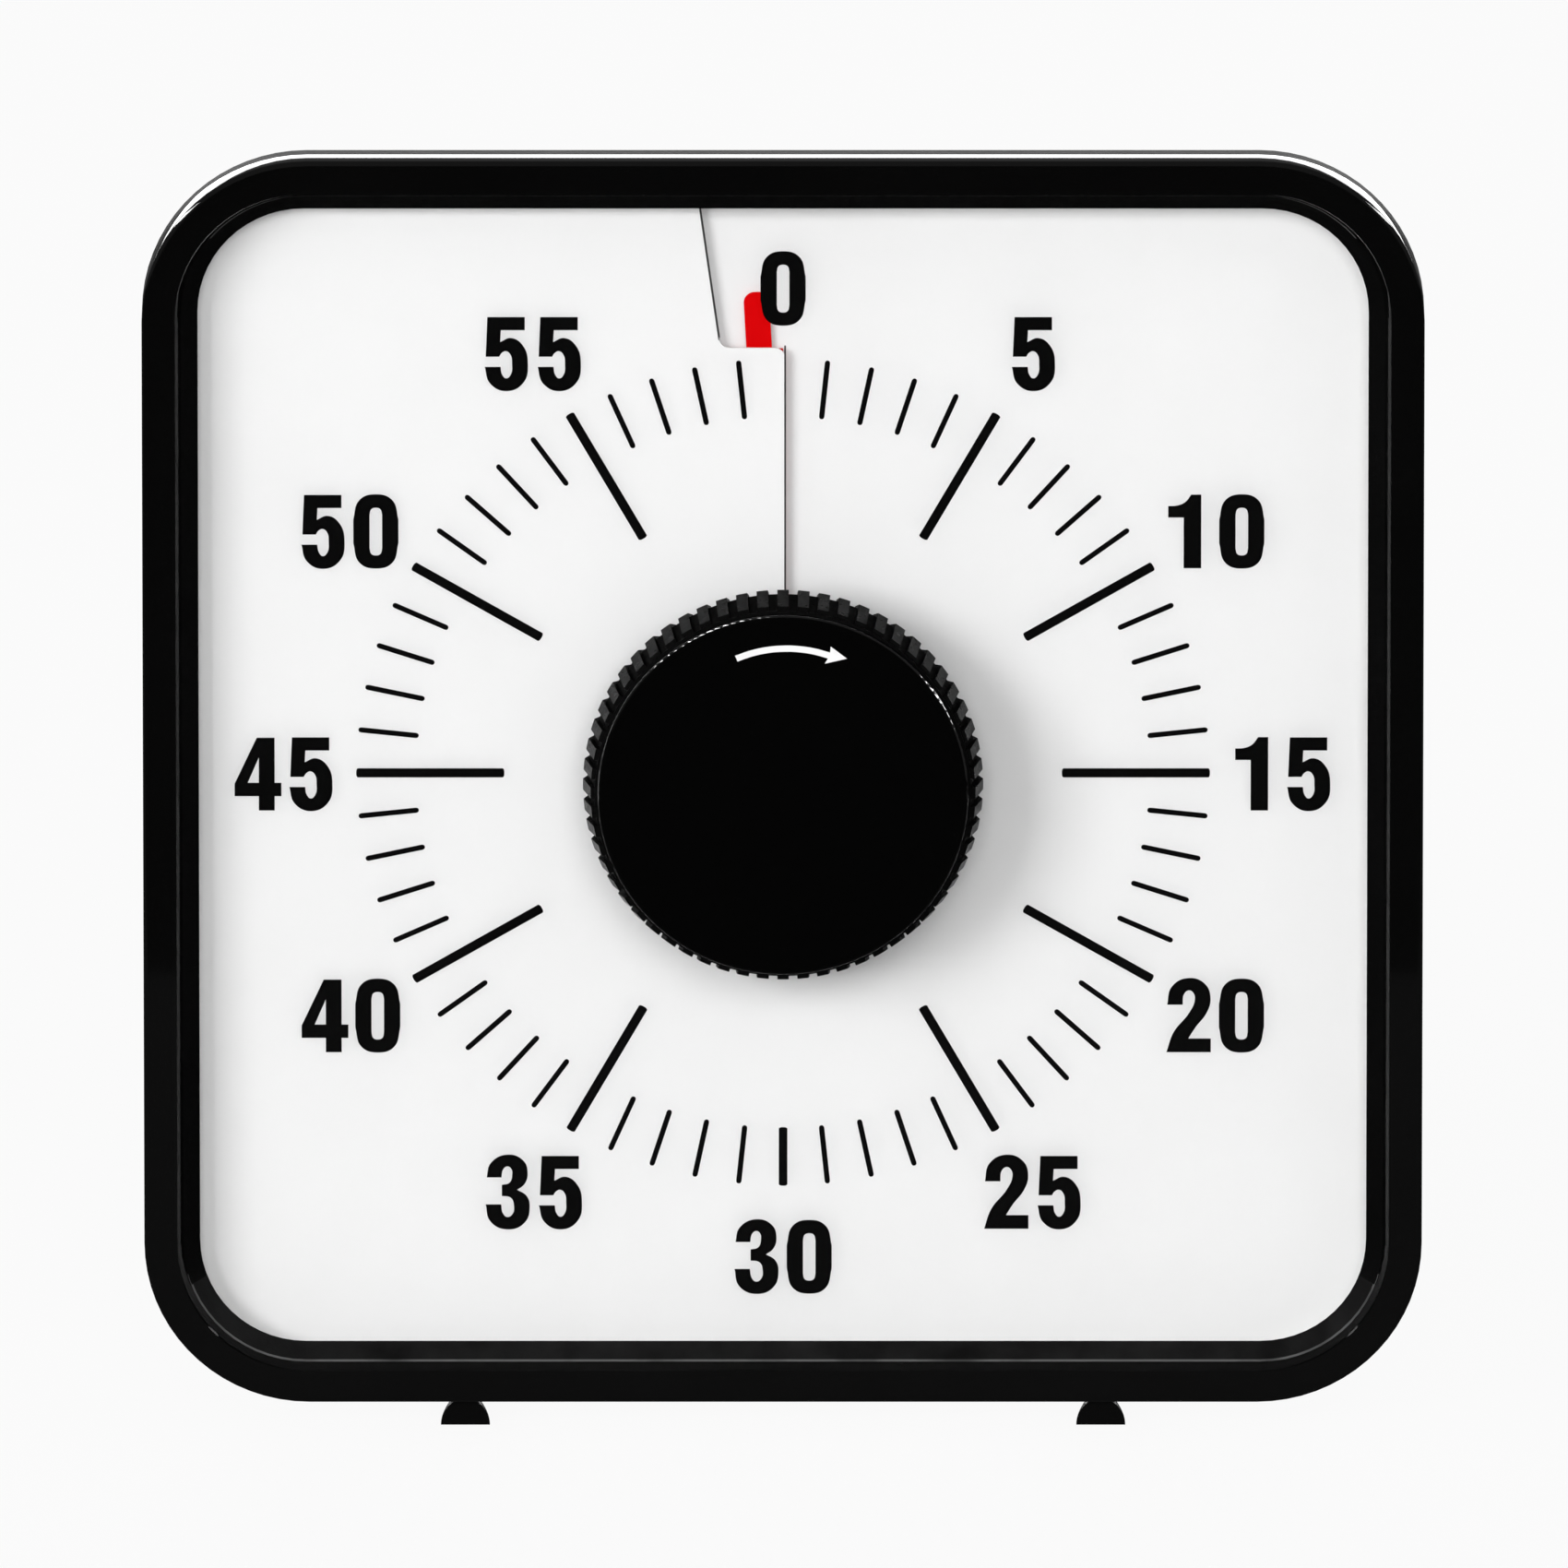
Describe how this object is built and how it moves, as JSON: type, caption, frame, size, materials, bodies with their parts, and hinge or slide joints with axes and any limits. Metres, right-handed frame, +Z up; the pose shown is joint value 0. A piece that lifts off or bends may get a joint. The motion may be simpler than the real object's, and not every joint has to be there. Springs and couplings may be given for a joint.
{
  "type": "visual countdown timer",
  "caption": "Square wind-up countdown timer with a clear cover over a white sheet, a red disc that a ribbed knob winds out, a clockwork movement with a bell, and swing-out feet.",
  "frame": {"origin": "middle of the bounding box in X and Y, on the table under the feet", "axes": "+X to the right of the dial, +Y from the dial to the back, +Z up"},
  "size_m": [0.19, 0.0628, 0.1939],
  "materials": {
    "gloss_black": "high gloss",
    "satin_black": "satin",
    "clear": "clear, polished",
    "white_sheet": "matte film",
    "red_film": "matte film",
    "white_plastic": "moulded",
    "brass": "machined",
    "steel": "bright",
    "spring_steel": "blued",
    "nickel": "nickel plated"
  },
  "bodies": {
    "case": {"front_frame": "gloss_black", "front_cover": "clear", "dial_sheet": "white_sheet", "dial_carrier": "white_plastic", "rear_shell": "satin_black", "case_screws": "steel", "back_magnets": "nickel", "foot_screws": "steel", "foot_washers": "white_plastic", "movement_front_plate": "brass", "movement_rear_plate": "brass", "plate_pillars": "brass", "pillar_front_screws": "steel", "pillar_rear_screws": "steel", "mainspring": "spring_steel", "bell_dome": "nickel", "bell_post": "steel", "bell_screw": "steel", "hairspring_stud": "steel"},
    "knob": {"knob_body": "satin_black", "knob_cap": "gloss_black", "knob_screw": "steel", "main_arbor": "steel", "main_wheel": "brass", "clutch_spring": "spring_steel", "strike_cam": "steel", "arbor_clip": "spring_steel"},
    "disc": {"red_disc": "red_film", "disc_hub": "white_plastic"},
    "second": {"second_wheel": "brass", "second_pinion": "steel"},
    "third": {"third_wheel": "brass", "third_pinion": "steel"},
    "escape": {"escape_wheel": "brass", "escape_pinion": "steel"},
    "pallet": {"pallet_lever": "steel", "pallet_pins": "steel"},
    "balance": {"balance_wheel": "brass", "balance_staff": "steel", "hairspring": "spring_steel"},
    "hammer": {"hammer_lever": "steel", "hammer_head": "brass", "hammer_arbor": "steel"},
    "foot_left": {"swing_foot_left": "satin_black"},
    "foot_right": {"swing_foot_right": "satin_black"}
  },
  "joints": [
    {"name": "knob_turn", "type": "hinge", "parent": "case", "child": "knob", "pos_m": [0, -0.00465, 0.0989], "axis": [0, 1, 0], "range_deg": [0, 354]},
    {"name": "disc_advance", "type": "slide", "parent": "knob", "child": "disc", "axis": [0, -1, 0], "range_m": [0, 0.0016]},
    {"name": "second_spin", "type": "hinge", "parent": "case", "child": "second", "pos_m": [0.022, -0.00465, 0.0989], "axis": [0, 1, 0], "range_deg": [-1420, 4]},
    {"name": "third_spin", "type": "hinge", "parent": "case", "child": "third", "pos_m": [0.03, -0.00465, 0.11276], "axis": [0, 1, 0], "range_deg": [-4, 4252]},
    {"name": "escape_spin", "type": "hinge", "parent": "case", "child": "escape", "pos_m": [0.01831, -0.00465, 0.11951], "axis": [0, 1, 0], "range_deg": [-12748, 4]},
    {"name": "balance_swing", "type": "hinge", "parent": "case", "child": "balance", "pos_m": [-0.009, -0.00465, 0.1264], "axis": [0, 1, 0], "range_deg": [-20, 20], "stiffness_Nm_per_rad": 0.00001},
    {"name": "pallet_rock", "type": "hinge", "parent": "case", "child": "pallet", "pos_m": [0.00871, -0.00465, 0.11951], "axis": [0, 1, 0], "range_deg": [-2.2, 2.2]},
    {"name": "hammer_swing", "type": "hinge", "parent": "case", "child": "hammer", "pos_m": [-0.024, -0.00465, 0.0909], "axis": [0, -1, 0], "range_deg": [-4, 1]},
    {"name": "foot_left_swing", "type": "hinge", "parent": "case", "child": "foot_left", "pos_m": [-0.0473, -0.00065, 0.0018], "axis": [0, 0, 1], "range_deg": [-90, 0]},
    {"name": "foot_right_swing", "type": "hinge", "parent": "case", "child": "foot_right", "pos_m": [0.0473, -0.00065, 0.0018], "axis": [0, 0, 1], "range_deg": [0, 90]}
  ],
  "couplings": [
    {"joint": "disc_advance", "follows": "knob_turn", "m_per_rad": 0.00025465},
    {"joint": "second_spin", "follows": "knob_turn", "ratio": -4},
    {"joint": "third_spin", "follows": "knob_turn", "ratio": 12},
    {"joint": "escape_spin", "follows": "knob_turn", "ratio": -36},
    {"joint": "pallet_rock", "follows": "balance_swing", "ratio": -0.09508}
  ]
}
